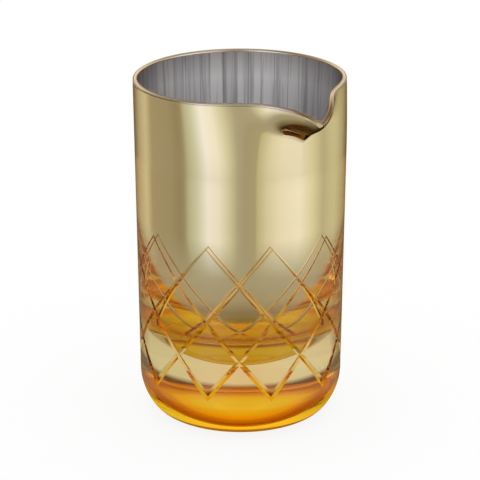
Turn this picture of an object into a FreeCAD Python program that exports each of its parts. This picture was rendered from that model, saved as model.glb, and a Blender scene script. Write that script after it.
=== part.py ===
import FreeCAD, Part
import math
import os
import Sketcher

# A cocktail mixing glass: a heavy-based tumbler with a pinched pouring lip, a silvered inside, an
# amber lustre on the outside and a belt of mitre cuts ground through the lustre into the glass.
# Frame: origin at the middle of the foot, on the plane that it stands on. +Z up, lip towards +X.

doc = FreeCAD.newDocument("mixing_glass")

# ---------------------------------------------------------------- driving dimensions (mm, degrees)

SIZES = {
    "rim_height": 150.0,  # top of the rim, away from the lip
    "mouth_radius": 45.8,  # outside of the glass at the rim
    "shoulder_height": 116.0,  # round below here, shaped by the lip above
    "shoulder_radius": 45.38,
    "heel_height": 18.6,  # where the wall starts to turn into the foot
    "heel_radius": 44.2,
    "heel_curve": 25.0,  # radius of the upper of the two heel curves
    "foot_radius": 32.0,  # outer edge of the flat ring that it stands on
    "punt_radius": 27.0,  # inner edge of that ring, rim of the hollow underneath
    "punt_rise": 1.6,
    "rim_wall": 2.1,
    "shoulder_bore": 42.68,  # radius of the inside at the shoulder
    "bowl_height": 92.0,  # where the inside starts to draw in
    "bowl_radius": 42.35,
    "bowl_flank": 165.0,  # radius of the long curve that it draws in by
    "bowl_waist": 52.0,  # where that curve gives way to the round bottom
    "bowl_curve": 33.0,  # radius of the round bottom's side
    "bowl_floor": 25.5,  # lowest point of the inside
    "lustre": 0.15,  # nominal thickness of the amber film
    "lustre_edge": 1.0,  # height at which the film stops above the foot
    "silver": 0.15,  # nominal thickness of the mirror film
    "lip_reach": 12.8,  # how far the lip stands out of the round mouth
    "lip_drop": 6.75,  # how far its tip is below the rim
    "lip_fade": 13.0,  # height over which the lip runs out into the wall
    "pinch_near": 2.45,  # how far the wall is drawn in beside the lip, -Y side
    "pinch_far": 1.35,  # the same on the +Y side
    "cut_count": 10,  # cuts leaning each way
    "cut_low": 20.0,  # height of the lowest points of the belt
    "cut_high": 87.2,  # height of its highest points
    "cut_sweep": 72.0,  # angle that each cut goes round the glass
    "cut_first": 18.0,  # angle of the first low point from the lip
    "cut_depth": 0.66,  # into the glass, at the low end
    "cut_flare": 1.13,  # slope of the cut's bottom, which all but runs out at the high end
    "cut_tool": 1.3,  # radial size of the cutter's edge
    "cut_tool_half": 4.2,  # half of its height, for a mitre of about 130 degrees across the cut
}

sheet = doc.addObject("Spreadsheet::Sheet", "Sizes")
for row, (alias, amount) in enumerate(SIZES.items(), start=1):
    sheet.set("A%d" % row, alias)
    sheet.set("B%d" % row, str(amount))
    sheet.setAlias("B%d" % row, alias)
doc.recompute()


def number(text):
    """The value of sheet names joined by + and -, such as "heel_radius + lustre"."""
    total = 0.0
    sign = 1.0
    for word in text.split():
        if word in "+-":
            sign = 1.0 if word == "+" else -1.0
        else:
            total += sign * sheet.get(word)
    return total


def formula(text):
    """The same sum as an expression that a property can be bound to."""
    return " ".join(word if word in "+-*/()" else "Sizes." + word for word in text.split())


# ---------------------------------------------------------------- sketches of the turned profiles

START, END, CENTRE = 1, 2, 3


def origin_plane(body, role):
    return next(item for item in body.Origin.OriginFeatures if item.Role == role)


def new_sketch(body, name):
    """A sketch on the body's XZ plane: its x is the radius and its y the height."""
    sketch = body.newObject("Sketcher::SketchObject", name)
    sketch.AttachmentSupport = [(origin_plane(body, "XZ_Plane"), "")]
    sketch.MapMode = "FlatFace"
    return sketch


def place(sketch, item, point, radius=None, height=None):
    """Bind a point of a sketch to a radius and a height given by sheet names."""
    for kind, text in (("DistanceX", radius), ("DistanceY", height)):
        if text is None:
            continue
        if text == "0":
            axis = -2 if kind == "DistanceX" else -1
            sketch.addConstraint(Sketcher.Constraint("PointOnObject", item, point, axis))
            continue
        amount = number(text)
        at = sketch.addConstraint(Sketcher.Constraint(kind, -1, 1, item, point, amount))
        sketch.setExpression("Constraints[%d]" % at, formula(text))


def curve(sketch, item, text):
    """Bind the radius of an arc to sheet names."""
    at = sketch.addConstraint(Sketcher.Constraint("Radius", item, number(text)))
    sketch.setExpression("Constraints[%d]" % at, formula(text))


def line(start, end):
    return Part.LineSegment(FreeCAD.Vector(*start, 0), FreeCAD.Vector(*end, 0))


def arc(centre, radius, first, last):
    """An arc, anticlockwise from the first angle to the last, in radians."""
    circle = Part.Circle(FreeCAD.Vector(*centre, 0), FreeCAD.Vector(0, 0, 1), radius)
    return Part.ArcOfCircle(circle, first, last)


def meet(sketch, item, point, other, other_point, smooth=False):
    kind = "Tangent" if smooth else "Coincident"
    sketch.addConstraint(Sketcher.Constraint(kind, item, point, other, other_point))


def heel_arcs(grow=0.0):
    """The two curves of the heel, lower then upper, as (centre, radius), and where they join."""
    run = number("heel_radius - foot_radius")
    rise = number("heel_height")
    upper = number("heel_curve")
    lower = (2 * run * upper - run**2 - rise**2) / (2 * (upper - rise))
    low_centre = (number("foot_radius"), lower)
    high_centre = (number("heel_radius - heel_curve"), rise)
    angle = math.atan2(low_centre[1] - high_centre[1], low_centre[0] - high_centre[0])
    return (low_centre, lower + grow), (high_centre, upper + grow), angle


def bowl_arcs(shrink=0.0):
    """The flank, corner and floor of the bowl as arcs from their lower end to their upper one."""
    flank = number("bowl_flank")
    corner = number("bowl_curve")
    waist = -math.asin(number("bowl_height - bowl_waist") / flank)
    flank_centre = (number("bowl_radius - bowl_flank"), number("bowl_height"))
    across = flank_centre[0] + (flank - corner) * math.cos(waist)
    height = flank_centre[1] + (flank - corner) * math.sin(waist)
    deep = height - number("bowl_floor")
    floor = (across**2 + deep**2 - corner**2) / (2 * (deep - corner))
    floor_height = number("bowl_floor") + floor
    turn = math.atan2(height - floor_height, across)
    return (
        arc(flank_centre, flank - shrink, waist, 0.0),
        arc((across, height), corner - shrink, turn, waist),
        arc((0.0, floor_height), floor - shrink, -math.pi / 2, turn),
    )


def glass_profile(body):
    """Half of a section through the glass below the shoulder."""
    sketch = new_sketch(body, "glass_profile")
    low, high, heel_angle = heel_arcs()
    punt_radius = number("punt_radius")
    punt_rise = number("punt_rise")
    punt_curve = (punt_radius**2 + punt_rise**2) / (2 * punt_rise)
    punt_angle = math.acos(punt_radius / punt_curve)
    foot = (number("foot_radius"), 0.0)
    heel = (number("heel_radius"), number("heel_height"))
    shoulder = (number("shoulder_radius"), number("shoulder_height"))
    bore = (number("shoulder_bore"), number("shoulder_height"))
    brim = (number("bowl_radius"), number("bowl_height"))
    sketch.addGeometry(
        [
            line((punt_radius, 0.0), foot),
            arc(*low, -math.pi / 2, heel_angle),
            arc(*high, heel_angle, 0.0),
            line(heel, shoulder),
            line(shoulder, bore),
            line(bore, brim),
            *bowl_arcs(),
            line((0.0, number("bowl_floor")), (0.0, punt_rise)),
            arc((0.0, punt_rise - punt_curve), punt_curve, punt_angle, math.pi / 2),
        ],
        False,
    )
    ring, toe, calf, wall, top, inside, flank, turn, base, axis, punt = range(11)
    meet(sketch, ring, END, toe, START, smooth=True)
    meet(sketch, toe, END, calf, START, smooth=True)
    meet(sketch, calf, END, wall, START)
    meet(sketch, wall, END, top, START)
    meet(sketch, top, END, inside, START)
    meet(sketch, inside, END, flank, END)
    meet(sketch, flank, START, turn, END, smooth=True)
    meet(sketch, turn, START, base, END, smooth=True)
    meet(sketch, base, START, axis, START)
    meet(sketch, axis, END, punt, END)
    meet(sketch, punt, START, ring, START)
    place(sketch, ring, START, "punt_radius", "0")
    place(sketch, ring, END, "foot_radius", "0")
    place(sketch, wall, START, "heel_radius", "heel_height")
    place(sketch, calf, CENTRE, None, "heel_height")
    curve(sketch, calf, "heel_curve")
    place(sketch, wall, END, "shoulder_radius", "shoulder_height")
    place(sketch, top, END, "shoulder_bore", "shoulder_height")
    place(sketch, inside, END, "bowl_radius", "bowl_height")
    place(sketch, flank, CENTRE, None, "bowl_height")
    place(sketch, flank, START, None, "bowl_waist")
    curve(sketch, flank, "bowl_flank")
    curve(sketch, turn, "bowl_curve")
    place(sketch, base, CENTRE, "0")
    place(sketch, axis, START, "0", "bowl_floor")
    place(sketch, axis, END, "0", "punt_rise")
    place(sketch, punt, CENTRE, "0")
    return sketch


def lustre_profile(body):
    """Half of a section through the amber film below the shoulder."""
    sketch = new_sketch(body, "lustre_profile")
    film = number("lustre")
    edge = number("lustre_edge")
    low, high, heel_angle = heel_arcs()
    low_out, high_out, heel_angle = heel_arcs(grow=film)
    start = -math.asin((low[0][1] - edge) / low[1])
    start_out = -math.asin((low[0][1] - edge) / low_out[1])
    heel = (number("heel_radius"), number("heel_height"))
    heel_out = (number("heel_radius + lustre"), number("heel_height"))
    shoulder = (number("shoulder_radius"), number("shoulder_height"))
    shoulder_out = (number("shoulder_radius + lustre"), number("shoulder_height"))
    toe_in = arc(*low, start, heel_angle)
    toe_out = arc(*low_out, start_out, heel_angle)
    sketch.addGeometry(
        [
            toe_in,
            arc(*high, heel_angle, 0.0),
            line(heel, shoulder),
            line(shoulder, shoulder_out),
            line(shoulder_out, heel_out),
            arc(*high_out, heel_angle, 0.0),
            toe_out,
            line((toe_out.StartPoint.x, edge), (toe_in.StartPoint.x, edge)),
        ],
        False,
    )
    toe, calf, wall, top, wall_out, calf_out, toe_out, bottom = range(8)
    meet(sketch, toe, END, calf, START, smooth=True)
    meet(sketch, calf, END, wall, START)
    meet(sketch, wall, END, top, START)
    meet(sketch, top, END, wall_out, START)
    meet(sketch, wall_out, END, calf_out, END)
    meet(sketch, calf_out, START, toe_out, END, smooth=True)
    meet(sketch, toe_out, START, bottom, START)
    meet(sketch, bottom, END, toe, START)
    meet(sketch, toe, CENTRE, toe_out, CENTRE)
    meet(sketch, calf, CENTRE, calf_out, CENTRE)
    place(sketch, toe, CENTRE, "foot_radius")
    place(sketch, toe, START, None, "lustre_edge")
    place(sketch, bottom, START, None, "lustre_edge")
    place(sketch, calf, CENTRE, "heel_radius - heel_curve", "heel_height")
    place(sketch, wall, START, "heel_radius", "heel_height")
    place(sketch, wall, END, "shoulder_radius", "shoulder_height")
    place(sketch, top, END, "shoulder_radius + lustre", "shoulder_height")
    place(sketch, wall_out, END, "heel_radius + lustre", "heel_height")
    return sketch


def silver_profile(body):
    """Half of a section through the mirror film below the shoulder."""
    sketch = new_sketch(body, "silver_profile")
    film = number("silver")
    flank_in, turn_in, base_in = bowl_arcs(shrink=film)
    bore = (number("shoulder_bore"), number("shoulder_height"))
    bore_in = (number("shoulder_bore - silver"), number("shoulder_height"))
    brim = (number("bowl_radius"), number("bowl_height"))
    brim_in = (number("bowl_radius - silver"), number("bowl_height"))
    low = number("bowl_floor")
    sketch.addGeometry(
        [
            line(bore, brim),
            *bowl_arcs(),
            line((0.0, low), (0.0, low + film)),
            base_in,
            turn_in,
            flank_in,
            line(brim_in, bore_in),
            line(bore_in, bore),
        ],
        False,
    )
    wall, flank, turn, base, axis, base_in, turn_in, flank_in, wall_in, top = range(10)
    meet(sketch, wall, END, flank, END)
    meet(sketch, flank, START, turn, END, smooth=True)
    meet(sketch, turn, START, base, END, smooth=True)
    meet(sketch, base, START, axis, START)
    meet(sketch, axis, END, base_in, START)
    meet(sketch, base_in, END, turn_in, START, smooth=True)
    meet(sketch, turn_in, END, flank_in, START, smooth=True)
    meet(sketch, flank_in, END, wall_in, START)
    meet(sketch, wall_in, END, top, START)
    meet(sketch, top, END, wall, START)
    meet(sketch, base, CENTRE, base_in, CENTRE)
    meet(sketch, turn, CENTRE, turn_in, CENTRE)
    meet(sketch, flank, CENTRE, flank_in, CENTRE)
    place(sketch, wall, START, "shoulder_bore", "shoulder_height")
    place(sketch, wall, END, "bowl_radius", "bowl_height")
    place(sketch, flank, CENTRE, "bowl_radius - bowl_flank", "bowl_height")
    place(sketch, flank, START, None, "bowl_waist")
    curve(sketch, turn, "bowl_curve")
    place(sketch, base, CENTRE, "0")
    place(sketch, base, START, "0", "bowl_floor")
    place(sketch, axis, END, "0", "bowl_floor + silver")
    place(sketch, wall_in, START, None, "bowl_height")
    place(sketch, top, START, "shoulder_bore - silver", "shoulder_height")
    return sketch


def punt_profile(body):
    """Half of a section through the film in the hollow underneath, which thins out at its edge."""
    sketch = new_sketch(body, "punt_profile")
    reach = number("punt_radius")
    arcs = []
    for text in ("punt_rise", "punt_rise - lustre"):
        rise = number(text)
        radius = (reach**2 + rise**2) / (2 * rise)
        arcs.append(arc((0.0, rise - radius), radius, math.acos(reach / radius), math.pi / 2))
    axis_line = line((0.0, number("punt_rise")), (0.0, number("punt_rise - lustre")))
    sketch.addGeometry([arcs[0], axis_line, arcs[1]], False)
    over, axis, under = range(3)
    meet(sketch, over, END, axis, START)
    meet(sketch, axis, END, under, END)
    meet(sketch, under, START, over, START)
    place(sketch, over, START, "punt_radius", "0")
    place(sketch, over, CENTRE, "0")
    place(sketch, under, CENTRE, "0")
    place(sketch, axis, START, "0", "punt_rise")
    place(sketch, axis, END, "0", "punt_rise - lustre")
    return sketch


def turned(label, profile):
    """A body with one profile turned about the glass's axis."""
    body = doc.addObject("PartDesign::Body", label)
    sketch = profile(body)
    turn = body.newObject("PartDesign::Revolution", label + "_turn")
    turn.Profile = (sketch, [""])
    turn.ReferenceAxis = (sketch, ["V_Axis"])
    turn.Angle = 360.0
    doc.recompute()
    return body


def add_cuts(body):
    """Grind the belt of mitre cuts: two crossing sets of slanted cuts, evenly spaced round."""
    cutter = new_sketch(body, body.Name + "_cutter")
    turn = FreeCAD.Rotation(FreeCAD.Vector(0, 1, 0), -number("cut_first"))
    cutter.AttachmentOffset = FreeCAD.Placement(FreeCAD.Vector(), turn)
    low = number("cut_low")
    tip = number("heel_radius - cut_depth")
    back = tip + number("cut_tool")
    half = number("cut_tool_half")
    point = (tip, low)
    upper = (back, low + half)
    lower = (back, low - half)
    cutter.addGeometry([line(point, upper), line(upper, lower), line(lower, point)], False)
    meet(cutter, 0, END, 1, START)
    meet(cutter, 1, END, 2, START)
    meet(cutter, 2, END, 0, START)
    place(cutter, 0, START, "heel_radius - cut_depth", "cut_low")
    place(cutter, 0, END, "heel_radius - cut_depth + cut_tool", "cut_low + cut_tool_half")
    place(cutter, 1, END, "heel_radius - cut_depth + cut_tool", "cut_low - cut_tool_half")
    rise = "(Sizes.cut_high - Sizes.cut_low)"
    for side, left_handed in (("right", False), ("left", True)):
        cut = body.newObject("PartDesign::SubtractiveHelix", "%s_cut_%s" % (body.Name, side))
        cut.Profile = (cutter, [""])
        cut.ReferenceAxis = (cutter, ["V_Axis"])
        cut.Mode = "pitch-height-angle"
        cut.setExpression("Height", rise)
        cut.setExpression("Pitch", rise + " * 360 / Sizes.cut_sweep")
        cut.setExpression("Angle", "Sizes.cut_flare")
        cut.LeftHanded = left_handed
        doc.recompute()
        ring = body.newObject("PartDesign::PolarPattern", "%s_cuts_%s" % (body.Name, side))
        ring.Originals = [cut]
        ring.Axis = (origin_plane(body, "Z_Axis"), [""])
        ring.Angle = 360.0
        ring.setExpression("Occurrences", "Sizes.cut_count")
        body.Tip = ring
        doc.recompute()


# ---------------------------------------------------------------- mouth and pouring lip

LIP_WIDTH = 0.258  # radians from the lip's middle to where it stands 1/e as far out
LIP_SHARP = 1.83
DIP_WIDTH = 0.134  # the same for how far the rim dips at the lip
DIP_SHARP = 1.19
PINCH_AT = 0.584  # radians from the lip's middle to where the wall is most drawn in
RING_POINTS = 144
WALL_STEPS = 3
LIP_STEPS = 6
BEAD_STEPS = 3


def fades(level, share):
    """0 below the top share of a level from 0 to 1, rising evenly to 1 at the top."""
    return max(0.0, (level - 1.0 + share) / share)


def eased(amount):
    """0 to 1 as the amount goes from 0 to 1, level at both ends."""
    return amount * amount * (3.0 - 2.0 * amount)


def lip_share():
    """The share of the mouth's height over which the lip runs out."""
    return number("lip_fade") / number("rim_height - shoulder_height")


def lip_out(angle):
    return number("lip_reach") * math.exp(-((abs(angle) / LIP_WIDTH) ** LIP_SHARP))


def pinch_in(angle):
    deep = number("pinch_near") if angle < 0 else number("pinch_far")
    spread = (angle / PINCH_AT) ** 2
    return deep * spread * math.exp(1.0 - spread)


def rim_crest(angle):
    """Height of the rim's top at an angle from the lip."""
    dip = number("lip_drop") * math.exp(-((abs(angle) / DIP_WIDTH) ** DIP_SHARP))
    return number("rim_height") - dip


def wall_middle(angle, level):
    """Radius of the middle of the wall, from level 0 at the shoulder to level 1 at the rim."""
    low = (number("shoulder_radius") + number("shoulder_bore")) / 2
    high = number("mouth_radius") - number("rim_wall") / 2
    lip = eased(fades(level, lip_share()))
    pinch = fades(level, 1.0) ** 2
    return low + (high - low) * level + lip * lip_out(angle) - pinch * pinch_in(angle)


def ring(level, side, grow, bead=0.0):
    """A closed curve round the mouth. side is 1 outside and -1 inside, grow is a film's thickness,
    and bead an angle from the top of the straight wall up over the rounded rim."""
    low = number("shoulder_height")
    wall_low = number("shoulder_radius - shoulder_bore")
    half = (wall_low + (number("rim_wall") - wall_low) * level) / 2 + grow
    reach = side * half * math.cos(bead)
    lift = half * math.sin(bead)
    nudge = 1e-4
    points = []
    for index in range(RING_POINTS):
        angle = 2 * math.pi * index / RING_POINTS - math.pi
        radius = wall_middle(angle, level)
        slope = wall_middle(angle + nudge, level) - wall_middle(angle - nudge, level)
        outwards = angle - math.atan2(slope / (2 * nudge), radius)
        x = radius * math.cos(angle) + reach * math.cos(outwards)
        y = radius * math.sin(angle) + reach * math.sin(outwards)
        height = low + level * (rim_crest(angle) - number("rim_wall") / 2 - low)
        points.append(FreeCAD.Vector(x, y, height + lift))
    curve = Part.BSplineCurve()
    curve.interpolate(Points=points, PeriodicFlag=True)
    return Part.Wire([curve.toShape()])


def through(rings):
    """The smooth surface through a stack of rings."""
    return Part.makeLoft(rings, False, False, False).Faces


def mouth_skin(side, grow=0.0):
    """One side of the mouth from the shoulder to the rim's crest: its faces and its end rings."""
    plain = 1.0 - lip_share()
    wall = [ring(plain * step / WALL_STEPS, side, grow) for step in range(WALL_STEPS + 1)]
    lip = wall[-1:]
    for step in range(1, LIP_STEPS + 1):
        lip.append(ring(plain + lip_share() * step / LIP_STEPS, side, grow))
    over = lip[-1:]
    for step in range(1, BEAD_STEPS + 1):
        over.append(ring(1.0, side, grow, math.pi / 2 * step / BEAD_STEPS))
    return through(wall) + through(lip) + through(over), wall[0], over[-1]


def mouth_feature(name, faces):
    """A solid bounded by faces that meet edge to edge."""
    shell = Part.makeShell(faces)
    shell.sewShape()
    feature = doc.addObject("Part::Feature", name)
    feature.Shape = Part.Solid(shell)
    return feature


def annulus(outer, inner):
    return Part.Face([outer, inner.reversed()])


def mouth_glass():
    outside, foot_out, crest = mouth_skin(1)
    inside, foot_in, crest = mouth_skin(-1)
    return mouth_feature("mouth_glass", outside + inside + [annulus(foot_out, foot_in)])


def mouth_film(name, side, thickness):
    """A film on one side of the mouth, ending at the crest of the rim."""
    near, foot_near, crest_near = mouth_skin(side)
    far, foot_far, crest_far = mouth_skin(side, thickness)
    outer, inner = (foot_far, foot_near) if side > 0 else (foot_near, foot_far)
    lip = Part.makeLoft([crest_near, crest_far], False, True, False).Faces
    return mouth_feature(name, near + far + lip + [annulus(outer, inner)])


# ---------------------------------------------------------------- the pieces


def fused(label, base, tool):
    """The piece made of its turned lower part and its shaped mouth."""
    join = doc.addObject("Part::Fuse", label)
    join.Base = base
    join.Tool = tool
    doc.recompute()
    return join


def patch(label, solids):
    """One node of the amber film: the solids that the cuts leave standing apart."""
    feature = doc.addObject("Part::Feature", label)
    feature.Shape = solids[0] if len(solids) == 1 else Part.makeCompound(solids)
    return feature


lower_glass = turned("lower_glass", glass_profile)
add_cuts(lower_glass)
glass_body = fused("glass_body", lower_glass, mouth_glass())

lower_silver = turned("lower_silver", silver_profile)
mouth_silver = mouth_film("mouth_silver", -1, number("silver"))
mirror_lining = fused("mirror_lining", lower_silver, mouth_silver)

lower_lustre = turned("lower_lustre", lustre_profile)
add_cuts(lower_lustre)
mouth_lustre = mouth_film("mouth_lustre", 1, number("lustre"))
lustre = fused("lustre", lower_lustre, mouth_lustre)

islands = sorted(lustre.Shape.Solids, key=lambda solid: solid.BoundBox.ZMax)
tall = [solid for solid in islands if solid.BoundBox.ZMax > number("shoulder_height")]
low = [solid for solid in islands if solid.BoundBox.ZMin < number("cut_low") / 2]
lozenges = [solid for solid in islands if solid not in tall and solid not in low]

amber_field = patch("amber_field", tall)
amber_lozenges = patch("amber_lozenges", lozenges)
amber_heel = patch("amber_heel", low)
amber_punt = turned("amber_punt", punt_profile)

LOZENGE_ROWS = 3
PIECES = [glass_body, mirror_lining, amber_field, amber_lozenges, amber_heel, amber_punt]

# ---------------------------------------------------------------- checks and output

doc.recompute()
for item in doc.Objects:
    if "Invalid" in item.State or "Error" in item.State:
        raise RuntimeError("%s failed: %s" % (item.Label, item.State))
for piece in PIECES:
    if piece.Shape.isNull() or not piece.Shape.isValid():
        raise RuntimeError("%s has no valid shape" % piece.Label)
if (len(tall), len(low)) != (1, 1) or len(lozenges) != LOZENGE_ROWS * number("cut_count"):
    raise RuntimeError("the cuts don't part the amber film as they should")

os.makedirs("parts", exist_ok=True)
for piece in PIECES:
    piece.Shape.exportStep("parts/%s.step" % piece.Label)
    box = piece.Shape.BoundBox
    print(piece.Label, len(piece.Shape.Solids), "solids", round(piece.Shape.Volume, 1), "mm3", box)
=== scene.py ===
import math

import bmesh
import bpy
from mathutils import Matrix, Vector
from mathutils.geometry import delaunay_2d_cdt


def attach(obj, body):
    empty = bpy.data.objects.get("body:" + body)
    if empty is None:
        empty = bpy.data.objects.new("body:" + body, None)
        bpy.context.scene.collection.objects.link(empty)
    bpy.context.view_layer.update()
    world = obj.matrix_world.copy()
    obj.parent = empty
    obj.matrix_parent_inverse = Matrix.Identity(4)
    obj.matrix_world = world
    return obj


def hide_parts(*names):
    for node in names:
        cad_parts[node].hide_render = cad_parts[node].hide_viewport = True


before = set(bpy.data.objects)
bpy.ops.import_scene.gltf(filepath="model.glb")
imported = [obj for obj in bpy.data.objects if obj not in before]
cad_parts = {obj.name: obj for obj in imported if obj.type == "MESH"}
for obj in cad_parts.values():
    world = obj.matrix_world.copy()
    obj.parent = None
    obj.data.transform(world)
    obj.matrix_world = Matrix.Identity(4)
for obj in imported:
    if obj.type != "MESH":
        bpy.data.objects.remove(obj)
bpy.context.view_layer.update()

# A cocktail mixing glass, in metres, in the CAD frame: origin at the middle of the foot, lip to +X.
# The glass is one closed mesh. Its outer faces carry the amber lustre, the mitre cuts are bare, and
# its inner faces are the back of the silvering. The front of the silvering is a thin shell inside.

MM = 0.001
RIM_HEIGHT = 150.0 * MM
MOUTH_RADIUS = 45.8 * MM
SHOULDER_HEIGHT = 116.0 * MM
SHOULDER_RADIUS = 45.38 * MM
SHOULDER_BORE = 42.68 * MM
HEEL_HEIGHT = 18.6 * MM
HEEL_RADIUS = 44.2 * MM
HEEL_CURVE = 25.0 * MM
FOOT_RADIUS = 32.0 * MM
PUNT_RADIUS = 27.0 * MM
PUNT_RISE = 1.6 * MM
RIM_WALL = 2.1 * MM
BOWL_HEIGHT = 92.0 * MM
BOWL_RADIUS = 42.35 * MM
BOWL_FLANK = 165.0 * MM
BOWL_WAIST = 52.0 * MM
BOWL_CURVE = 33.0 * MM
BOWL_FLOOR = 25.5 * MM
SILVER = 0.15 * MM
SILVER_GAP = 0.02 * MM

LIP_REACH = 12.8 * MM
LIP_DROP = 6.75 * MM
LIP_FADE = 13.0 * MM
LIP_WIDTH = 0.258
LIP_SHARP = 1.83
DIP_WIDTH = 0.134
DIP_SHARP = 1.19
PINCH_AT = 0.584
PINCH_NEAR = 2.45 * MM
PINCH_FAR = 1.35 * MM

CUT_COUNT = 10
CUT_LOW = 20.0 * MM
CUT_HIGH = 87.2 * MM
CUT_SWEEP = math.radians(72.0)
CUT_FIRST = math.radians(18.0)
CUT_DEPTH = 0.66 * MM
CUT_FLARE = math.tan(math.radians(1.13))
CUT_FLAT = 4.2 / 1.3  # height of half a cut over its depth
SECTOR = 2 * math.pi / CUT_COUNT
WALL_SLOPE = (SHOULDER_RADIUS - HEEL_RADIUS) / (SHOULDER_HEIGHT - HEEL_HEIGHT)

COLUMNS = 360
BELT_LOW = 15.0 * MM
BELT_HIGH = 90.0 * MM
BELT_ROW = 2.5 * MM
SHARP_ANGLE = math.radians(14.0)
MOUTH_STEPS = 28
BEAD_STEPS = 7
LIP_CROWDING = 0.45  # how much closer the columns stand at the lip than elsewhere
CUT_TRACE = 0.002 * MM  # a cut shallower than this leaves the lustre whole
SAME_PLACE = 1e-7  # two points nearer than this are one

IOR = 1.52

WHITE = (1.0, 1.0, 1.0)
BLACK = (0.0, 0.0, 0.0)
STRAIGHT = (1.0, 0.93, 0.70)  # tint of the amber film, crossed at right angles
GLANCING = (0.79, 0.54, 0.015)  # the same, crossed at a glancing angle from inside
PAINTED_OUTLINE_SHADE = (0.40, 0.28, 0.13)  # painted shade that browns the film where the wall turns away from the eye
LOW_TINT_SPAN = (18 * MM, 11 * MM)
# Spans along X of the painted shade under the lip and of the painted shade on the gilt at the lip.
PAINTED_LIP_SHADE_SPAN = (43 * MM, 49 * MM)
GILT_LIP_SHADE_SPAN = (44 * MM, 54 * MM)
RINGS_REACH = 40.0  # millimetres from the axis to the end of the foot's painted reflection rings

# ------------------------------------------------------------------------------ shape of the glass


def wall_radius(height):
    """Radius of the uncut outside, from the heel up to the shoulder."""
    if height < HEEL_HEIGHT:
        sink = HEEL_HEIGHT - height
        return HEEL_RADIUS - HEEL_CURVE + math.sqrt(HEEL_CURVE**2 - sink**2)
    rise = (height - HEEL_HEIGHT) / (SHOULDER_HEIGHT - HEEL_HEIGHT)
    return HEEL_RADIUS + (SHOULDER_RADIUS - HEEL_RADIUS) * rise


def cut_radius(offset, along):
    """Radius of a cut's surface at a height above its middle line, where that line has risen."""
    return HEEL_RADIUS - CUT_DEPTH + along * CUT_FLARE + abs(offset) / CUT_FLAT


def sector_lines():
    """The cuts in one sector, as (angle and height at its left side, and at its right side)."""
    middle = (CUT_LOW + CUT_HIGH) / 2
    levels = ((CUT_LOW, middle), (middle, CUT_HIGH))
    rising = [((0.0, low), (SECTOR, high)) for low, high in levels]
    falling = [((0.0, high), (SECTOR, low)) for low, high in levels]
    return rising + falling


def line_height(line, angle):
    (left, start), (right, end) = line
    return start + (end - start) * (angle - left) / (right - left)


def belt_radius(angle, height):
    """Radius of the cut outside, at an angle from the left side of a sector."""
    radius = wall_radius(height)
    for line in sector_lines():
        middle = line_height(line, angle)
        radius = min(radius, cut_radius(height - middle, middle - CUT_LOW))
    return radius


def deepest_cut(angle, height):
    """The cut whose ground surface is the outside here, or None where the wall is whole."""
    deepest = wall_radius(height) - CUT_TRACE
    found = None
    for line in sector_lines():
        middle = line_height(line, angle)
        radius = cut_radius(height - middle, middle - CUT_LOW)
        if radius < deepest:
            deepest, found = radius, line
    return found


def belt_facing(angle, height, start, cut, side):
    """Normal at a point of the belt, on the wall, or on the upper or lower side of a cut."""
    radius = belt_radius(angle, height)
    if cut:
        (left, low), (right, high) = cut
        climb = (high - low) / (right - left)
        upwards = side / CUT_FLAT
        sideways = (CUT_FLARE - upwards) * climb / radius
    elif height < HEEL_HEIGHT:
        sink = HEEL_HEIGHT - height
        upwards = sink / math.sqrt(HEEL_CURVE**2 - sink**2)
        sideways = 0.0
    else:
        upwards = WALL_SLOPE
        sideways = 0.0
    turn = start + angle
    out = Vector((math.cos(turn), math.sin(turn), 0.0))
    along = Vector((-math.sin(turn), math.cos(turn), 0.0))
    return (out - sideways * along - upwards * Vector((0.0, 0.0, 1.0))).normalized()


def cut_edges(height):
    """How far above and below its middle line a cut meets the wall, where the line is at height."""
    depth = wall_radius(height) - cut_radius(0.0, height - CUT_LOW)
    return depth / (1 / CUT_FLAT - WALL_SLOPE), depth / (1 / CUT_FLAT + WALL_SLOPE)


def fades(level, share):
    """0 below the top share of a level from 0 to 1, rising evenly to 1 at the top."""
    return max(0.0, (level - 1.0 + share) / share)


def eased(amount):
    """0 to 1 as the amount goes from 0 to 1, level at both ends."""
    return amount * amount * (3.0 - 2.0 * amount)


def lip_out(angle):
    return LIP_REACH * math.exp(-((abs(angle) / LIP_WIDTH) ** LIP_SHARP))


def pinch_in(angle):
    deep = PINCH_NEAR if angle < 0 else PINCH_FAR
    spread = (angle / PINCH_AT) ** 2
    return deep * spread * math.exp(1.0 - spread)


def rim_crest(angle):
    """Height of the rim's top at an angle from the lip."""
    return RIM_HEIGHT - LIP_DROP * math.exp(-((abs(angle) / DIP_WIDTH) ** DIP_SHARP))


def wall_middle(angle, level):
    """Radius of the middle of the wall, from level 0 at the shoulder to level 1 at the rim."""
    low = (SHOULDER_RADIUS + SHOULDER_BORE) / 2
    high = MOUTH_RADIUS - RIM_WALL / 2
    lip = eased(fades(level, LIP_FADE / (RIM_HEIGHT - SHOULDER_HEIGHT)))
    pinch = fades(level, 1.0) ** 2
    return low + (high - low) * level + lip * lip_out(angle) - pinch * pinch_in(angle)


def mouth_point(angle, level, side, grow=0.0, bead=0.0):
    """A point of the mouth. side is 1 outside and -1 inside, bead an angle up over the rim."""
    wall_low = SHOULDER_RADIUS - SHOULDER_BORE
    half = (wall_low + (RIM_WALL - wall_low) * level) / 2 + grow
    radius = wall_middle(angle, level)
    nudge = 1e-4
    slope = wall_middle(angle + nudge, level) - wall_middle(angle - nudge, level)
    outwards = angle - math.atan2(slope / (2 * nudge), radius)
    reach = side * half * math.cos(bead)
    height = SHOULDER_HEIGHT + level * (rim_crest(angle) - RIM_WALL / 2 - SHOULDER_HEIGHT)
    return Vector(
        (
            radius * math.cos(angle) + reach * math.cos(outwards),
            radius * math.sin(angle) + reach * math.sin(outwards),
            height + half * math.sin(bead),
        )
    )


def column_angle(column, crowding=0.0):
    """Angle of a column of points; with crowding, the columns draw together at the lip."""
    angle = 2 * math.pi * column / COLUMNS - math.pi
    return angle - crowding * math.sin(angle)


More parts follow.
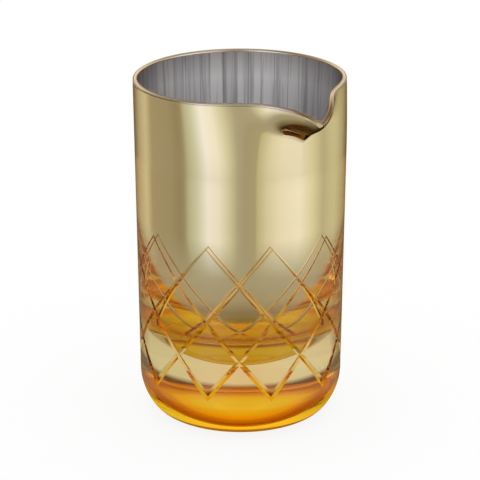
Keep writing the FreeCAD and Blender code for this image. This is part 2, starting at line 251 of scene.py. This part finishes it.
def round_row(radius, height):
    """A row of points round the axis, or the one point on it."""
    if radius < SAME_PLACE:
        return [Vector((0.0, 0.0, height))]
    angles = [column_angle(column) for column in range(COLUMNS)]
    return [Vector((radius * math.cos(a), radius * math.sin(a), height)) for a in angles]


def mouth_rows(side, grow=0.0):
    """Rows from the shoulder to the crest of the rim."""
    stops = [(step / MOUTH_STEPS, 0.0) for step in range(MOUTH_STEPS + 1)]
    stops += [(1.0, math.pi / 2 * step / BEAD_STEPS) for step in range(1, BEAD_STEPS + 1)]
    rows = []
    for level, bead in stops:
        angles = [column_angle(column, LIP_CROWDING * level) for column in range(COLUMNS)]
        rows.append([mouth_point(angle, level, side, grow, bead) for angle in angles])
    return rows


def arc_rows(centre, radius, first, last, steps):
    """Rows along an arc of the section, its angles counted from outwards towards up."""
    rows = []
    for step in range(steps + 1):
        angle = first + (last - first) * step / steps
        across = centre[0] + radius * math.cos(angle)
        rows.append(round_row(max(0.0, across), centre[1] + radius * math.sin(angle)))
    return rows


def foot_and_heel_rows():
    """Rows from the middle of the hollow underneath to the toe, and from there up to the belt."""
    run = HEEL_RADIUS - FOOT_RADIUS
    rise = HEEL_HEIGHT
    toe = (2 * run * HEEL_CURVE - run**2 - rise**2) / (2 * (HEEL_CURVE - rise))
    toe_centre = (FOOT_RADIUS, toe)
    calf_centre = (HEEL_RADIUS - HEEL_CURVE, HEEL_HEIGHT)
    turn = math.atan2(toe_centre[1] - calf_centre[1], toe_centre[0] - calf_centre[0])
    punt_curve = (PUNT_RADIUS**2 + PUNT_RISE**2) / (2 * PUNT_RISE)
    punt_edge = math.acos(PUNT_RADIUS / punt_curve)
    punt_centre = (0.0, PUNT_RISE - punt_curve)
    belt_turn = math.asin((BELT_LOW - HEEL_HEIGHT) / HEEL_CURVE)
    foot = arc_rows(punt_centre, punt_curve, math.pi / 2, punt_edge, 14)
    foot += [round_row(FOOT_RADIUS, 0.0)]
    foot += arc_rows(toe_centre, toe, -math.pi / 2, turn, 12)[1:]
    return foot, arc_rows(calf_centre, HEEL_CURVE, turn, belt_turn, 12)


def inside_rows(shrink=0.0):
    """Rows from the shoulder down the inside to the middle of the bowl."""
    waist = -math.asin((BOWL_HEIGHT - BOWL_WAIST) / BOWL_FLANK)
    flank_centre = Vector((BOWL_RADIUS - BOWL_FLANK, BOWL_HEIGHT))
    towards = Vector((math.cos(waist), math.sin(waist)))
    corner_centre = flank_centre + (BOWL_FLANK - BOWL_CURVE) * towards
    across = corner_centre.x
    deep = corner_centre.y - BOWL_FLOOR
    floor = (across**2 + deep**2 - BOWL_CURVE**2) / (2 * (deep - BOWL_CURVE))
    floor_centre = Vector((0.0, BOWL_FLOOR + floor))
    turn = math.atan2(corner_centre.y - floor_centre.y, across)
    steps = 6
    rows = []
    for step in range(steps + 1):
        share = step / steps
        radius = SHOULDER_BORE + (BOWL_RADIUS - SHOULDER_BORE) * share - shrink
        rows.append(round_row(radius, SHOULDER_HEIGHT + (BOWL_HEIGHT - SHOULDER_HEIGHT) * share))
    rows += arc_rows(flank_centre, BOWL_FLANK - shrink, 0.0, waist, 20)[1:]
    rows += arc_rows(corner_centre, BOWL_CURVE - shrink, waist, turn, 20)[1:]
    rows += arc_rows(floor_centre, floor - shrink, turn, -math.pi / 2, 14)[1:]
    return rows


# ------------------------------------------------------------------------------ mesh building


class Builder:
    """Collects faces over shared points, each with a material number."""

    def __init__(self):
        self.mesh = bmesh.new()
        self.facing = self.mesh.loops.layers.float_vector.new("facing")

    def row(self, points):
        return [self.mesh.verts.new(point) for point in points]

    def face(self, corners, material, facings=None):
        """facings are exact normals for the corners, where the smoothed ones won't do."""
        face = self.mesh.faces.new(corners)
        face.material_index = material
        face.smooth = True
        if facings:
            for loop, facing in zip(face.loops, facings):
                loop[self.facing] = facing

    def stack(self, rows, material, flip=False):
        """Join rows of points into rings of faces."""
        made = [self.row(points) for points in rows]
        for low, high in zip(made, made[1:]):
            for column in range(COLUMNS):
                following = (column + 1) % COLUMNS
                if len(low) == 1:
                    corners = [low[0], high[following], high[column]]
                elif len(high) == 1:
                    corners = [low[column], low[following], high[0]]
                else:
                    corners = [low[column], low[following], high[following], high[column]]
                self.face(corners[::-1] if flip else corners, material)
        return made

    def finish(self, name, materials):
        bmesh.ops.remove_doubles(self.mesh, verts=self.mesh.verts, dist=SAME_PLACE)
        bmesh.ops.recalc_face_normals(self.mesh, faces=self.mesh.faces)
        for edge in self.mesh.edges:
            if edge.is_manifold and edge.calc_face_angle() > SHARP_ANGLE:
                edge.smooth = False
        data = bpy.data.meshes.new(name)
        self.mesh.to_mesh(data)
        self.mesh.free()
        layer = data.attributes["facing"]
        facings = [Vector(item.vector) for item in layer.data]
        data.attributes.remove(layer)
        data.normals_split_custom_set(facings)
        for material in materials:
            data.materials.append(material)
        piece = bpy.data.objects.new(name, data)
        bpy.context.scene.collection.objects.link(piece)
        return piece


def sector_plan():
    """Points and triangles of one sector of the belt, laid flat as (arc length, height)."""
    columns = COLUMNS // CUT_COUNT
    points = []
    edges = []

    def chain(places):
        """Add a run of points joined by edges that the triangles must follow."""
        first = len(points)
        points.extend(Vector((angle * HEEL_RADIUS, height)) for angle, height in places)
        edges.extend((at, at + 1) for at in range(first, len(points) - 1))

    for line in sector_lines():
        middle, upper, lower = [], [], []
        for column in range(columns + 1):
            angle = SECTOR * column / columns
            height = line_height(line, angle)
            above, below = cut_edges(height)
            middle.append((angle, height))
            upper.append((angle, height + above))
            lower.append((angle, height - below))
        for places in (middle, upper, lower):
            chain(places)
    rows = round((BELT_HIGH - BELT_LOW) / BELT_ROW)
    for angle in (0.0, SECTOR):
        chain([(angle, BELT_LOW), (angle, BELT_HIGH)])
    for height in (BELT_LOW, BELT_HIGH):
        chain([(SECTOR * column / columns, height) for column in range(columns + 1)])
    for row in range(1, rows):
        height = BELT_LOW + (BELT_HIGH - BELT_LOW) * row / rows
        for column in range(columns + 1):
            angle = SECTOR * column / columns
            if clear_of_cuts(angle, height):
                points.append(Vector((angle * HEEL_RADIUS, height)))
    flat, _, faces, _, _, _ = delaunay_2d_cdt(points, edges, [], 0, 1e-6)
    return [(point.x / HEEL_RADIUS, point.y) for point in flat], faces


def clear_of_cuts(angle, height, margin=0.5 * MM):
    """True where a plain grid point stands well away from every cut."""
    for line in sector_lines():
        middle = line_height(line, angle)
        above, below = cut_edges(middle)
        if -below - margin < height - middle < above + margin:
            return False
    return True


def belt(builder, lustre, bare):
    """The cut belt: one sector's triangles, repeated round the glass."""
    places, faces = sector_plan()
    radii = [belt_radius(angle, height) for angle, height in places]
    for turn in range(CUT_COUNT):
        start = CUT_FIRST + turn * SECTOR
        ring = []
        for (angle, height), radius in zip(places, radii):
            x = radius * math.cos(start + angle)
            y = radius * math.sin(start + angle)
            ring.append(builder.mesh.verts.new((x, y, height)))
        for face in faces:
            angle = sum(places[at][0] for at in face) / len(face)
            height = sum(places[at][1] for at in face) / len(face)
            cut = deepest_cut(angle, height)
            side = 1.0 if cut and height > line_height(cut, angle) else -1.0
            corners = [ring[at] for at in face]
            facings = [belt_facing(*places[at], start, cut, side) for at in face]
            builder.face(corners, bare if cut else lustre, facings)


def glass_piece(materials):
    """The whole glass as one closed mesh."""
    lustre, low, under, spout, bare, silver, gilt = range(7)
    builder = Builder()
    foot, heel = foot_and_heel_rows()
    builder.stack(foot, under)
    builder.stack(heel, low)
    belt(builder, lustre, bare)
    wall = []
    steps = 6
    for step in range(steps + 1):
        height = BELT_HIGH + (SHOULDER_HEIGHT - BELT_HIGH) * step / steps
        wall.append(round_row(wall_radius(height), height))
    mouth = mouth_rows(1)
    builder.stack(wall, lustre)
    builder.stack(mouth[: MOUTH_STEPS + 1], spout)
    builder.stack(mouth[MOUTH_STEPS:], gilt)
    inside = mouth_rows(-1)[::-1] + inside_rows()[1:]
    builder.stack(inside, silver)
    return builder.finish("cut_glass_vessel", materials)


def lining_piece(materials):
    """The silvering as a thin closed shell, a hair clear of the glass."""
    builder = Builder()
    mouth = mouth_rows(-1, SILVER)
    back = mouth_rows(-1, SILVER_GAP)[::-1] + inside_rows(SILVER_GAP)[1:]
    builder.stack(inside_rows(SILVER)[::-1] + mouth[1 : MOUTH_STEPS + 1], 0)
    builder.stack(mouth[MOUTH_STEPS:], 1)
    builder.stack(mouth[-1:] + back, 0)
    return builder.finish("silvered_lining", materials)


# ------------------------------------------------------------------------------ materials


def new_material(name):
    material = bpy.data.materials.new(name)
    material.use_nodes = True
    material.node_tree.nodes.clear()
    return material, material.node_tree


def node(tree, kind, **inputs):
    made = tree.nodes.new(kind)
    for name, amount in inputs.items():
        made.inputs[name.replace("_", " ")].default_value = amount
    return made


def link_out(tree, shader):
    out = tree.nodes.new("ShaderNodeOutputMaterial")
    tree.links.new(shader.outputs[0], out.inputs["Surface"])


def ramp_node(tree, stops):
    ramp = tree.nodes.new("ShaderNodeValToRGB")
    while len(ramp.color_ramp.elements) < len(stops):
        ramp.color_ramp.elements.new(0.5)
    for element, (place, colour) in zip(ramp.color_ramp.elements, stops):
        element.position = place
        element.color = (*colour, 1.0)
    return ramp


def ramp_colour(tree, share, stops):
    """The colour that a ramp gives for a socket's value."""
    ramp = ramp_node(tree, stops)
    tree.links.new(share, ramp.inputs[0])
    return ramp.outputs[0]


def share_between(tree, value, start, end):
    """0 to 1 as a socket's value goes from start to end."""
    share = node(tree, "ShaderNodeMapRange", From_Min=start, From_Max=end)
    tree.links.new(value, share.inputs["Value"])
    return share.outputs[0]


def axis_share(tree, axis, start, end):
    """0 to 1 from one place to another along an axis of the glass."""
    place = tree.nodes.new("ShaderNodeTexCoord")
    split = tree.nodes.new("ShaderNodeSeparateXYZ")
    tree.links.new(place.outputs["Object"], split.inputs[0])
    return share_between(tree, split.outputs[axis], start, end)


def worked_out(tree, operation, first, second):
    """What a Math node makes of two numbers, each a plain number or a socket."""
    made = tree.nodes.new("ShaderNodeMath")
    made.operation = operation
    for socket, number in zip(made.inputs, (first, second)):
        if isinstance(number, float):
            socket.default_value = number
        else:
            tree.links.new(number, socket)
    return made.outputs[0]


def mixed(tree, kind, share, first, second):
    """Mix two colours, each a plain colour or a socket; share is a number or a socket."""
    mix = tree.nodes.new("ShaderNodeMix")
    mix.data_type = "RGBA"
    mix.blend_type = kind
    if isinstance(share, float):
        mix.inputs[0].default_value = share
    else:
        tree.links.new(share, mix.inputs[0])
    for socket, colour in ((mix.inputs[6], first), (mix.inputs[7], second)):
        if isinstance(colour, tuple):
            socket.default_value = colour
        else:
            tree.links.new(colour, socket)
    return mix.outputs[2]


def mixed_shaders(tree, share, first, second):
    mix = node(tree, "ShaderNodeMixShader", Fac=share)
    tree.links.new(first.outputs[0], mix.inputs[1])
    tree.links.new(second.outputs[0], mix.inputs[2])
    return mix


def lustre_glass(name, glancing, low=None, painted_lip_shade=None):
    """Clear glass under a transparent amber film. A ray that glances along inside the film is
    tinted far more than one that goes straight through, and a painted shade browns the outline.
    With low, the way in deepens to that colour towards the foot, and with painted_lip_shade,
    a painted shade darkens it under the lip."""
    material, tree = new_material(name)
    layer = node(tree, "ShaderNodeLayerWeight", Blend=0.5)
    leaving = tree.nodes.new("ShaderNodeNewGeometry").outputs["Backfacing"]
    entering = worked_out(tree, "SUBTRACT", 1.0, leaving)
    inside = worked_out(tree, "MULTIPLY", layer.outputs["Facing"], leaving)
    outside = worked_out(tree, "MULTIPLY", layer.outputs["Facing"], entering)
    body = ramp_colour(tree, inside, ((0.2, STRAIGHT), (0.7, glancing)))
    # Painted shade: the outline browns where the wall turns away from the eye.
    edge = ramp_colour(tree, outside, ((0.58, WHITE), (0.95, PAINTED_OUTLINE_SHADE)))
    if painted_lip_shade:
        # Painted shade: the wall darkens to deep brown under the lip, most where it turns away.
        under = ramp_colour(tree, outside, ((0.35, WHITE), (0.75, painted_lip_shade)))
        at_lip = axis_share(tree, "X", *PAINTED_LIP_SHADE_SPAN)
        edge = mixed(tree, "MIX", at_lip, edge, under)
    tint = mixed(tree, "MULTIPLY", 1.0, body, edge)
    if low:
        deep = worked_out(tree, "MULTIPLY", entering, axis_share(tree, "Z", *LOW_TINT_SPAN))
        tint = mixed(tree, "MIX", deep, tint, low)
    glass = node(tree, "ShaderNodeBsdfGlass", Roughness=0.0, IOR=IOR)
    tree.links.new(tint, glass.inputs["Color"])
    link_out(tree, glass)
    return material


def painted_foot_ring_reflections(tree):
    """Colour by the distance from the axis, in millimetres: painted reflection rings on the deep
    amber under the foot.
    """
    place = tree.nodes.new("ShaderNodeTexCoord")
    flatten = tree.nodes.new("ShaderNodeVectorMath")
    flatten.operation = "MULTIPLY"
    flatten.inputs[1].default_value = (1.0, 1.0, 0.0)
    tree.links.new(place.outputs["Object"], flatten.inputs[0])
    distance = tree.nodes.new("ShaderNodeVectorMath")
    distance.operation = "LENGTH"
    tree.links.new(flatten.outputs[0], distance.inputs[0])
    # Painted reflection rings: bright and dark amber by the distance from the axis.
    ring_reflections = (
        (0, (1.0, 0.66, 0.04)), (2.5, (0.95, 0.36, 0.01)), (6, (1.0, 0.52, 0.01)),
        (9, (0.85, 0.42, 0.01)), (12, (1.0, 0.64, 0.02)), (15, (0.86, 0.42, 0.01)),
        (19, (1.0, 0.64, 0.02)), (26, (1.0, 0.67, 0.02)), (30, (1.0, 0.66, 0.01)),
        (34, (1.0, 0.46, 0.01)), (37, (0.50, 0.13, 0.01)),
    )
    share = share_between(tree, distance.outputs["Value"], 0.0, RINGS_REACH * MM)
    return ramp_colour(tree, share, [(reach / RINGS_REACH, colour) for reach, colour in ring_reflections])


def foot_glass():
    """Deep amber under the foot: part clear, and part cloudy, so that it glows from below; the
    cloudy part carries painted reflection rings."""
    material, tree = new_material("amber_foot_glass")
    clear = node(tree, "ShaderNodeBsdfGlass", Color=(1.0, 0.72, 0.04, 1), Roughness=0.05, IOR=IOR)
    cloudy = tree.nodes.new("ShaderNodeBsdfTranslucent")
    tree.links.new(painted_foot_ring_reflections(tree), cloudy.inputs["Color"])
    link_out(tree, mixed_shaders(tree, 0.7, clear, cloudy))
    return material


def bare_glass():
    """Ground glass in the cuts, given a warm tint in place of the film around it."""
    material, tree = new_material("bare_cut_glass")
    tint = (0.97, 0.80, 0.44, 1)
    link_out(tree, node(tree, "ShaderNodeBsdfGlass", Color=tint, Roughness=0.03, IOR=IOR))
    return material


def silver_back():
    """The mirror as seen through the glass, browner round the bottom of the bowl."""
    material, tree = new_material("silvering_seen_through_glass")
    bright = axis_share(tree, "Z", BOWL_WAIST - 6 * MM, BOWL_WAIST + 4 * MM)
    colour = mixed(tree, "MIX", bright, (0.56, 0.49, 0.27, 1), (0.93, 0.93, 0.93, 1))
    shader = node(tree, "ShaderNodeBsdfPrincipled", Metallic=1.0, Roughness=0.05)
    tree.links.new(colour, shader.inputs["Base Color"])
    link_out(tree, shader)
    return material


def gilt_rim():
    """The lustre fires to a pale metallic gold over the rounded rim, with a painted shade that
    browns it at the lip.
    """
    material, tree = new_material("pale_gilt_rim")
    # Painted shade: the gilt browns towards the lip.
    painted_lip_shade = axis_share(tree, "X", *GILT_LIP_SHADE_SPAN)
    colour = mixed(tree, "MIX", painted_lip_shade, (0.57, 0.50, 0.39, 1), (0.30, 0.19, 0.10, 1))
    shader = node(tree, "ShaderNodeBsdfPrincipled", Metallic=1.0, Roughness=0.16)
    tree.links.new(colour, shader.inputs["Base Color"])
    link_out(tree, shader)
    return material


def upright_streaks(tree, finest, length, stops):
    """Colours from noise drawn out upright: finest is its detail per metre, and length is how many
    times longer than wide it is."""
    place = tree.nodes.new("ShaderNodeTexCoord")
    squash = tree.nodes.new("ShaderNodeMapping")
    squash.inputs["Scale"].default_value = (1.0, 1.0, 1.0 / length)
    tree.links.new(place.outputs["Object"], squash.inputs["Vector"])
    noise = node(tree, "ShaderNodeTexNoise", Scale=finest, Detail=3.0, Roughness=0.6, Distortion=0.6)
    tree.links.new(squash.outputs[0], noise.inputs["Vector"])
    return ramp_colour(tree, noise.outputs[0], stops)


def panels(tree, per_radian):
    """Upright panels round the axis: a random grey for each, and how far it is to an edge."""
    place = tree.nodes.new("ShaderNodeTexCoord")
    split = tree.nodes.new("ShaderNodeSeparateXYZ")
    tree.links.new(place.outputs["Object"], split.inputs[0])
    angle = worked_out(tree, "ARCTAN2", split.outputs["Y"], split.outputs["X"])
    made = []
    for feature in ("F1", "DISTANCE_TO_EDGE"):
        cells = tree.nodes.new("ShaderNodeTexVoronoi")
        cells.voronoi_dimensions = "1D"
        cells.feature = feature
        cells.inputs["Scale"].default_value = per_radian
        tree.links.new(angle, cells.inputs["W"])
        made.append(cells)
    return made[0].outputs["Color"], made[1].outputs["Distance"]


def silver_front():
    """Thin silvering in upright panels with fine dark seams, half matt, with painted shade that
    darkens it up at the rim and where it turns away."""
    material, tree = new_material("streaked_silver_painted_shade")
    greys, edge = panels(tree, 7.0)
    grey = ramp_colour(tree, greys, ((0.2, (0.84, 0.83, 0.84)), (0.7, (1.0, 1.0, 0.99))))
    seams = ramp_colour(tree, edge, ((0.0, (0.40, 0.38, 0.40)), (0.035, WHITE)))
    clear = axis_share(tree, "Z", BOWL_FLOOR, BOWL_WAIST)
    panelled = mixed(tree, "MULTIPLY", clear, grey, seams)
    wisps = upright_streaks(tree, 380.0, 60.0, ((0.34, (0.62, 0.60, 0.62)), (0.5, WHITE)))
    upright = axis_share(tree, "Z", BOWL_FLOOR + 8 * MM, BOWL_WAIST + 10 * MM)
    streaked = mixed(tree, "MULTIPLY", upright, panelled, wisps)
    # Painted shade: darker up at the rim, and darker where the silver turns away from the eye.
    rim_shade = axis_share(tree, "Z", RIM_HEIGHT - 12 * MM, RIM_HEIGHT)
    shaded = mixed(tree, "MULTIPLY", rim_shade, streaked, (0.50, 0.48, 0.47, 1))
    layer = node(tree, "ShaderNodeLayerWeight", Blend=0.5)
    painted_turned_shade = mixed(tree, "MIX", layer.outputs["Facing"], shaded, (0.10, 0.07, 0.075, 1))
    shader = node(tree, "ShaderNodeBsdfPrincipled", Metallic=0.4, Roughness=0.35)
    tree.links.new(painted_turned_shade, shader.inputs["Base Color"])
    link_out(tree, shader)
    return material


def floor_material():
    """A pale floor that mostly glows, so that it stays even and shadows on it stay faint."""
    material, tree = new_material("pale_floor")
    matt = node(tree, "ShaderNodeBsdfDiffuse", Color=(0.9, 0.9, 0.9, 1))
    glow = node(tree, "ShaderNodeEmission", Color=(1, 1, 1, 1), Strength=1.02)
    link_out(tree, mixed_shaders(tree, 0.85, matt, glow))
    return material


def table_material():
    material, tree = new_material("pale_table")
    link_out(tree, node(tree, "ShaderNodeEmission", Color=(1, 1, 1, 1), Strength=0.9))
    return material


# ------------------------------------------------------------------------------ studio

CAMERA_AZIMUTH = math.radians(54.7)  # as the view command counts it
CAMERA_ELEVATION = math.radians(19.69)
CAMERA_DISTANCE = 0.9826
TARGET_HEIGHT = 73.7 * MM
FRAME_SIZE = 480
FLOOR_DROP = 0.5 * MM
TABLE_DROP = 0.2 * MM
TABLE_RADIUS = 33 * MM

# The studio's colour by direction, in degrees round from the camera. The list was fitted to the
# reflections that the photographed wall shows, so it isn't a neutral light.
BANDS = (
    (-180, (0.74, 0.59, 0.44)), (-150, (0.66, 0.62, 0.52)), (-128, (0.64, 0.58, 0.50)),
    (-117, (0.40, 0.34, 0.27)), (-85, (0.35, 0.31, 0.26)), (-72, (0.31, 0.26, 0.20)),
    (-66, (0.34, 0.31, 0.25)), (-61, (0.52, 0.52, 0.48)), (-50, (0.66, 0.72, 0.76)),
    (-37, (0.98, 1.02, 1.40)), (-24, (0.93, 0.95, 1.15)), (-12, (0.68, 0.70, 0.68)),
    (-3, (0.45, 0.44, 0.42)), (6, (0.40, 0.37, 0.34)), (17, (0.43, 0.405, 0.33)),
    (18.5, (0.56, 0.53, 0.44)), (30, (0.76, 0.74, 0.72)), (45, (0.92, 0.90, 1.00)),
    (70, (0.98, 1.00, 1.16)), (87, (0.82, 0.80, 0.74)), (106, (0.53, 0.50, 0.44)),
    (120, (0.61, 0.60, 0.50)), (150, (0.63, 0.61, 0.50)), (180, (0.74, 0.59, 0.44)),
)
# Its brightness from straight down (0) to straight up (1): dark below, a dark line at the horizon,
# and brightest a little above it.
HEIGHTS = (
    (0.0, (0.06, 0.04, 0.025)), (0.03, (0.52, 0.44, 0.32)), (0.09, (0.90, 0.86, 0.78)),
    (0.16, WHITE), (0.46, WHITE), (0.495, (0.22, 0.09, 0.03)), (0.545, (0.22, 0.09, 0.03)),
    (0.59, (1.75, 1.75, 1.7)), (0.72, (1.6, 1.6, 1.55)), (0.85, (0.9, 0.89, 0.86)),
)
# Dark flags at both sides: where they stand round the glass (0 to 1 is a full turn), and how high.
FLAG_SIDES = (
    (0.13, BLACK), (0.165, WHITE), (0.28, WHITE), (0.33, BLACK),
    (0.67, BLACK), (0.72, WHITE), (0.835, WHITE), (0.87, BLACK),
)
FLAG_LEVELS = ((0.41, BLACK), (0.455, WHITE), (0.58, WHITE), (0.62, BLACK))
# Where it fades to a plain grey ground, by the Z of the direction.
GROUND_FADE = (-0.31, -0.66)
GROUND = (0.40, 0.39, 0.37, 1)
# A warm card all round, a little above the horizon, seen only through the glass.
CARD_LEVELS = ((0.55, BLACK), (0.57, WHITE), (0.63, (0.7, 0.7, 0.7)), (0.72, BLACK))


def studio_directions(tree):
    """How far round from the camera and how far up a ray goes, each from 0 to 1, and its plain Z."""
    place = tree.nodes.new("ShaderNodeTexCoord")
    turn = tree.nodes.new("ShaderNodeVectorRotate")
    turn.rotation_type = "Z_AXIS"
    turn.inputs["Angle"].default_value = -CAMERA_AZIMUTH
    tree.links.new(place.outputs["Generated"], turn.inputs["Vector"])
    split = tree.nodes.new("ShaderNodeSeparateXYZ")
    tree.links.new(turn.outputs[0], split.inputs[0])
    to_camera = worked_out(tree, "MULTIPLY", split.outputs["Y"], -1.0)
    angle = worked_out(tree, "ARCTAN2", split.outputs["X"], to_camera)
    around = share_between(tree, angle, -math.pi, math.pi)
    up = share_between(tree, split.outputs["Z"], -1.0, 1.0)
    return around, up, split.outputs["Z"]


def studio_colour(tree, path):
    """The banded studio, with its ground, side flags and warm card."""
    around, up, rise = studio_directions(tree)
    banded = ramp_colour(tree, around, [((turn + 180) / 360, colour) for turn, colour in BANDS])
    grounded = mixed(tree, "MIX", share_between(tree, rise, *GROUND_FADE), banded, GROUND)
    shaded = mixed(tree, "MULTIPLY", 1.0, grounded, ramp_colour(tree, up, HEIGHTS))
    sides = ramp_colour(tree, around, FLAG_SIDES)
    flags = mixed(tree, "MULTIPLY", 1.0, sides, ramp_colour(tree, up, FLAG_LEVELS))
    flagged = mixed(tree, "MIX", flags, shaded, (0.10, 0.06, 0.035, 1))
    card = ramp_colour(tree, up, CARD_LEVELS)
    warm = worked_out(tree, "MULTIPLY", card, path.outputs["Is Transmission Ray"])
    return mixed(tree, "MULTIPLY", warm, flagged, (1.0, 0.48, 0.06, 1))


def studio_world():
    """Soft bands of light that only the glass and the silver see. The camera sees plain white
    behind the glass, and matt surfaces are lit by plain white."""
    world = bpy.data.worlds.new("studio")
    bpy.context.scene.world = world
    world.use_nodes = True
    tree = world.node_tree
    tree.nodes.clear()
    path = tree.nodes.new("ShaderNodeLightPath")
    colour = studio_colour(tree, path)
    seen = path.outputs["Is Camera Ray"]
    direct = worked_out(tree, "MAXIMUM", seen, path.outputs["Is Diffuse Ray"])
    background = tree.nodes.new("ShaderNodeBackground")
    tree.links.new(mixed(tree, "MIX", direct, colour, (1, 1, 1, 1)), background.inputs["Color"])
    out = tree.nodes.new("ShaderNodeOutputWorld")
    tree.links.new(background.outputs[0], out.inputs["Surface"])


def floor():
    """The floor, which the glass doesn't show or reflect, and the lit patch that it stands on."""
    bpy.ops.mesh.primitive_plane_add(size=6.0, location=(0, 0, -FLOOR_DROP))
    plane = bpy.context.object
    plane.name = "studio_floor"
    plane.data.materials.append(floor_material())
    plane.visible_glossy = False
    plane.visible_transmission = False
    bpy.ops.mesh.primitive_circle_add(
        vertices=64, radius=TABLE_RADIUS, fill_type="NGON", location=(0, 0, -TABLE_DROP)
    )
    patch = bpy.context.object
    patch.name = "table_under_glass"
    patch.data.materials.append(table_material())
    patch.visible_camera = False
    patch.visible_glossy = False


def camera():
    data = bpy.data.cameras.new("camera")
    data.sensor_width = 36.0
    data.lens = 169.3
    data.clip_start = 0.01
    data.clip_end = 20.0
    data.shift_x = -0.56 / FRAME_SIZE
    data.shift_y = 5.19 / FRAME_SIZE
    lens = bpy.data.objects.new("camera", data)
    away = Vector(
        (
            math.sin(CAMERA_AZIMUTH) * math.cos(CAMERA_ELEVATION),
            -math.cos(CAMERA_AZIMUTH) * math.cos(CAMERA_ELEVATION),
            math.sin(CAMERA_ELEVATION),
        )
    )
    target = Vector((0.0, 0.0, TARGET_HEIGHT))
    lens.location = target + away * CAMERA_DISTANCE
    lens.rotation_euler = away.to_track_quat("Z", "Y").to_euler()
    bpy.context.scene.collection.objects.link(lens)
    bpy.context.scene.camera = lens


camera()
studio_world()
floor()
scene = bpy.context.scene
scene.view_settings.view_transform = "Standard"
scene.cycles.max_bounces = 48
scene.cycles.glossy_bounces = 32
scene.cycles.transmission_bounces = 32

lustre = lustre_glass("amber_lustre_glass", GLANCING)
heel_lustre = lustre_glass("amber_heel_glass", GLANCING, low=(1.0, 0.68, 0.04, 1))
# The spout's darker glancing tint is painted shade over the mouth, and its tip colour is painted
# shade under the lip.
spout_lustre = lustre_glass("amber_spout_glass", (0.40, 0.29, 0.13), painted_lip_shade=(0.10, 0.055, 0.025))
gilt = gilt_rim()
vessel = glass_piece(
    [lustre, heel_lustre, foot_glass(), spout_lustre, bare_glass(), silver_back(), gilt]
)
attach(vessel, "root")
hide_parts("glass_body", "amber_field", "amber_lozenges", "amber_heel", "amber_punt")
lining = lining_piece([silver_front(), gilt])
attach(lining, "root")
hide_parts("mirror_lining")
